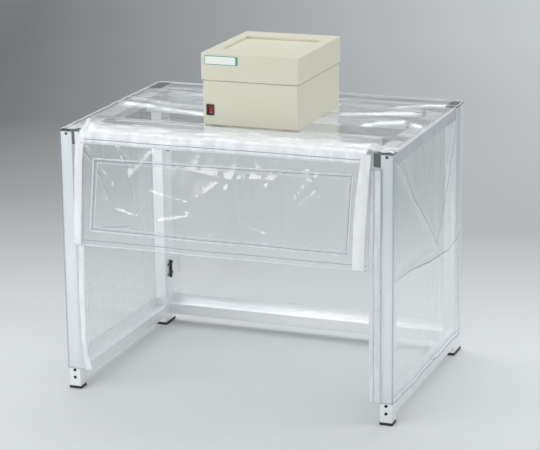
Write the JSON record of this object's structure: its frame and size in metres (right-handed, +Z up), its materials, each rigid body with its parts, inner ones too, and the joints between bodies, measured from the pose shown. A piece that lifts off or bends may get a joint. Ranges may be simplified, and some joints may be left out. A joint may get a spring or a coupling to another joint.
{
  "type": "folding fume hood",
  "caption": "Benchtop enclosure of square aluminium tube whose side frames fold in on hinges, with a clear film cover, an open front under a flap, and an extraction fan unit on top.",
  "frame": {"origin": "centre of the bounding box on the floor plane, between the feet", "axes": "+Z up, the open front faces -Y, +X to the right seen from the front"},
  "size_m": [0.7034, 0.5132, 0.697],
  "materials": {
    "aluminium_tube": "satin natural anodised",
    "black_plastic": "moulded, slight sheen",
    "black_screw": "black oxide",
    "black_hinge": "black enamel",
    "hinge_pin": "drawn steel",
    "hook_plate": "folded sheet, satin",
    "clear_film": "clear flexible film, glossy",
    "white_film": "milky welded film, glossy",
    "cream_paint": "smooth semi-gloss enamel",
    "zinc_sheet": "plain plated sheet",
    "rubber_pad": "matt",
    "switch_black": "moulded, glossy",
    "switch_red": "translucent red, glossy",
    "inlet_black": "moulded",
    "impeller_grey": "moulded",
    "motor_paint": "black enamel",
    "filter_media": "pleated felt in a card frame"
  },
  "bodies": {
    "rear_frame": {"rear_left_post": "aluminium_tube", "rear_right_post": "aluminium_tube", "rear_bottom_rail": "aluminium_tube", "rear_top_rail": "aluminium_tube", "rear_post_caps": "black_plastic", "rear_feet": "black_plastic", "fixed_hinge_leaves": "black_hinge", "hinge_pins": "hinge_pin", "rear_hinge_screws": "black_screw", "back_film": "clear_film"},
    "left_frame": {"left_front_post": "aluminium_tube", "left_rear_post": "aluminium_tube", "left_top_rail": "aluminium_tube", "left_bottom_rail": "aluminium_tube", "left_corner_fitting": "black_plastic", "left_rear_cap": "black_plastic", "left_feet": "black_plastic", "left_hinge_leaves": "black_hinge", "left_screws": "black_screw", "left_side_film": "clear_film", "left_front_hem": "white_film"},
    "right_frame": {"right_front_post": "aluminium_tube", "right_rear_post": "aluminium_tube", "right_top_rail": "aluminium_tube", "right_bottom_rail": "aluminium_tube", "right_corner_fitting": "black_plastic", "right_rear_cap": "black_plastic", "right_feet": "black_plastic", "right_hinge_leaves": "black_hinge", "right_screws": "black_screw", "right_side_film": "clear_film", "right_front_hem": "white_film"},
    "top_assembly": {"front_rail": "aluminium_tube", "front_beam": "aluminium_tube", "middle_beam": "aluminium_tube", "rear_beam": "aluminium_tube", "front_rail_hooks": "hook_plate", "front_beam_hooks": "hook_plate", "middle_beam_hooks": "hook_plate", "rear_beam_hooks": "hook_plate", "top_film": "clear_film", "front_film_band": "white_film", "front_flap": "clear_film", "flap_side_hems": "white_film", "fan_lower_case": "cream_paint", "fan_front_panel": "cream_paint", "fan_panel_screws": "zinc_sheet", "fan_pads": "rubber_pad", "fan_divider": "zinc_sheet", "fan_upper_case": "cream_paint", "fan_top_panel": "cream_paint", "filter_cartridge": "filter_media", "switch_frame": "switch_black", "power_inlet": "inlet_black", "inlet_ring": "zinc_sheet", "inlet_guard": "zinc_sheet", "fan_motor": "motor_paint"},
    "rocker": {"power_rocker": "switch_red"},
    "fan_rotor": {"fan_impeller": "impeller_grey", "fan_shaft": "zinc_sheet"}
  },
  "joints": [
    {"name": "top_lift", "type": "slide", "parent": "rear_frame", "child": "top_assembly", "axis": [0, 0, 1], "range_m": [0, 0.6]},
    {"name": "left_fold", "type": "hinge", "parent": "rear_frame", "child": "left_frame", "pos_m": [-0.3216, 0.22985, 0], "axis": [0, 0, 1], "range_deg": [0, 87.5]},
    {"name": "right_fold", "type": "hinge", "parent": "rear_frame", "child": "right_frame", "pos_m": [0.3216, 0.22985, 0], "axis": [0, 0, -1], "range_deg": [0, 81]},
    {"name": "power_switch", "type": "hinge", "parent": "top_assembly", "child": "rocker", "pos_m": [-0.0777, -0.10915, 0.5813], "axis": [-1, 0, 0], "range_deg": [0, 20]},
    {"name": "fan_spin", "type": "hinge", "parent": "top_assembly", "child": "fan_rotor", "pos_m": [0.0085, 0.01585, 0.6], "axis": [0, 0, 1], "continuous": true}
  ],
  "couplings": [
    {"joint": "left_fold", "follows": "top_lift", "rad_per_m": 2.5452},
    {"joint": "right_fold", "follows": "top_lift", "rad_per_m": 1.578}
  ]
}
